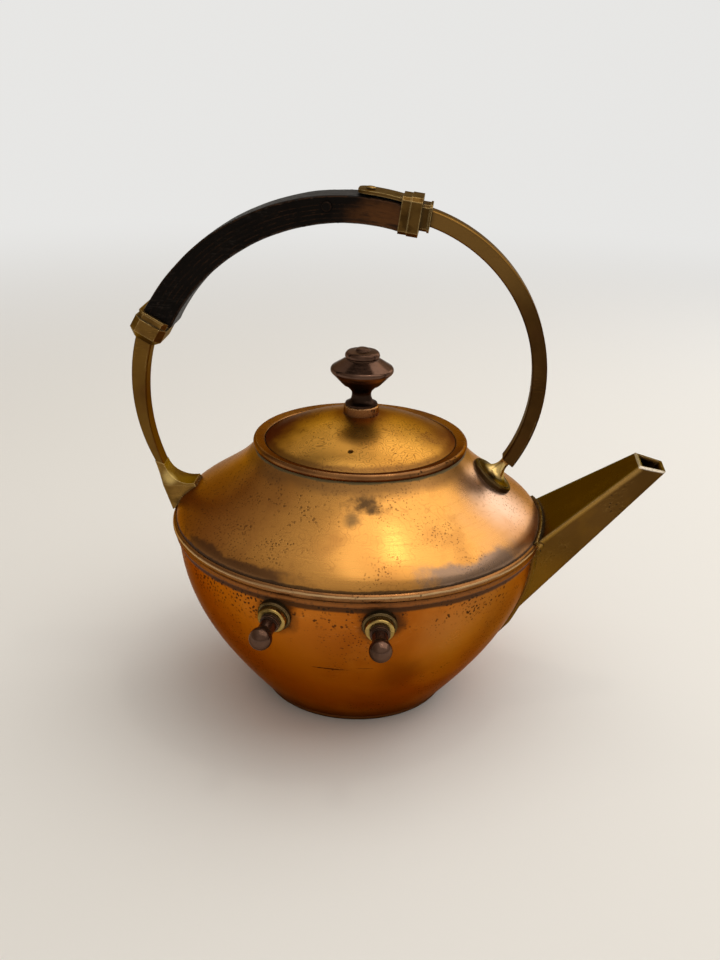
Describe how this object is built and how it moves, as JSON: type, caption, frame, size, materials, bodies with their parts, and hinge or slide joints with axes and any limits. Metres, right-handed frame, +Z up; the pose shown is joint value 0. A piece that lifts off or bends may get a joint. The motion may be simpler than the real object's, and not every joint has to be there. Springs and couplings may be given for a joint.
{
  "type": "tea kettle",
  "caption": "Low round kettle of copper and brass: tapered box spout, fixed loop handle with wooden grip, lift-off lid with turned knob, tipping pegs on the sides.",
  "frame": {"origin": "on the axis of the body, in the plane of the foot ring that the kettle stands on", "axes": "+Z up along the axis of the body, +X to the spout; the handle, the spout and the lid's knob share the plane y = 0"},
  "size_m": [0.2526, 0.21, 0.2463],
  "materials": {
    "bowl_copper": "aged copper, satin",
    "shoulder_copper": "aged copper with golden patina, satin",
    "lid_copper": "aged copper, satin",
    "bead_copper": "worn copper, polished on the crest",
    "spout_brass": "dull brass with olive patina",
    "arm_brass": "dull brass with olive patina",
    "fitting_brass": "worn brass",
    "dark_bronze": "dark brown bronze, satin",
    "grip_wood": "black lacquered wood, brown where worn",
    "inner_brass": "plain"
  },
  "bodies": {
    "kettle": {"base_ring": "bowl_copper", "bowl": "bowl_copper", "seam_bead": "bead_copper", "shoulder": "shoulder_copper", "mouth_ring": "bead_copper", "spout_shell": "spout_brass", "spout_collar": "spout_brass", "peg_flanges": "fitting_brass", "peg_collars": "fitting_brass", "peg_pins": "dark_bronze", "peg_nuts": "inner_brass", "rear_foot": "fitting_brass", "rear_arm": "arm_brass", "rear_ferrule": "fitting_brass", "grip": "grip_wood", "front_ferrule": "fitting_brass", "ferrule_rivet": "fitting_brass", "front_collar": "fitting_brass", "front_arm": "arm_brass", "front_foot": "fitting_brass", "foot_studs": "inner_brass", "foot_nuts": "inner_brass"},
    "lid": {"lid_dome": "lid_copper", "lid_sleeve": "lid_copper", "knob_collar": "bead_copper", "knob": "dark_bronze", "knob_stud": "inner_brass", "knob_nut": "inner_brass"}
  },
  "joints": [
    {"name": "lid_lift", "type": "slide", "parent": "kettle", "child": "lid", "axis": [0, 0, 1], "range_m": [0, 0.045]}
  ]
}
